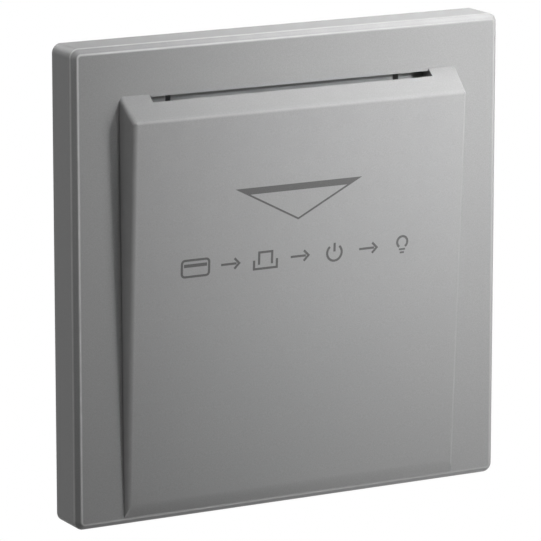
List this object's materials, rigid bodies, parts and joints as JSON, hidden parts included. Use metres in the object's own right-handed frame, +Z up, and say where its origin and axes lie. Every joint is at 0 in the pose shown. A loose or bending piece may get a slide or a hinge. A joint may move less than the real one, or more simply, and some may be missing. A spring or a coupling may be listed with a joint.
{
  "type": "hotel key card switch",
  "caption": "Square wall plate with a wedge-shaped hood that takes a key card from above; a sprung feeler behind it closes a pair of contacts.",
  "frame": {"origin": "centre of the two wall screw slots, on the wall plane", "axes": "+X to the right seen from the front, +Y into the wall, +Z up"},
  "size_m": [0.086, 0.0351, 0.086],
  "materials": {
    "cover_paint": "satin grey metallic paint",
    "frame_plastic": "moulded",
    "wall_plastic": "moulded",
    "housing_plastic": "moulded",
    "feeler_plastic": "moulded",
    "carrier_plastic": "moulded",
    "steel": "zinc plated",
    "brass": "bright",
    "contact_silver": "satin"
  },
  "bodies": {
    "root": {"support_frame": "frame_plastic", "chamber_wall": "wall_plastic", "frame_screws": "steel", "lid_screws": "steel", "rear_housing": "housing_plastic", "feeler_pin": "steel", "return_spring": "steel", "line_bar": "brass", "load_bar": "brass", "line_contact": "contact_silver", "load_contact": "contact_silver", "line_terminal": "brass", "load_terminal": "brass"},
    "cover": {"front_cover": "cover_paint"},
    "feeler": {"card_feeler": "feeler_plastic"},
    "carrier": {"contact_carrier": "carrier_plastic", "contact_bridge": "brass", "moving_contacts": "contact_silver", "contact_spring": "steel"},
    "line_clamp": {"line_screw": "steel"},
    "load_clamp": {"load_screw": "steel"}
  },
  "joints": [
    {"name": "feeler_pivot", "type": "hinge", "parent": "root", "child": "feeler", "pos_m": [0, 0.0004, -0.007], "axis": [1, 0, 0], "range_deg": [0, 8], "stiffness_Nm_per_rad": 0.006, "springref_deg": -8.59},
    {"name": "carrier_slide", "type": "slide", "parent": "root", "child": "carrier", "axis": [0, 1, 0], "range_m": [0, 0.00195], "deforming": ["return_spring"]},
    {"name": "cover_unclip", "type": "slide", "parent": "root", "child": "cover", "axis": [0, -1, 0], "range_m": [0, 0.03]},
    {"name": "line_screw_clamp", "type": "slide", "parent": "root", "child": "line_clamp", "axis": [0, -1, 0], "range_m": [0, 0.0035]},
    {"name": "load_screw_clamp", "type": "slide", "parent": "root", "child": "load_clamp", "axis": [0, -1, 0], "range_m": [0, 0.0035]}
  ],
  "couplings": [
    {"joint": "feeler_pivot", "follows": "carrier_slide", "rad_per_m": 71.429}
  ]
}
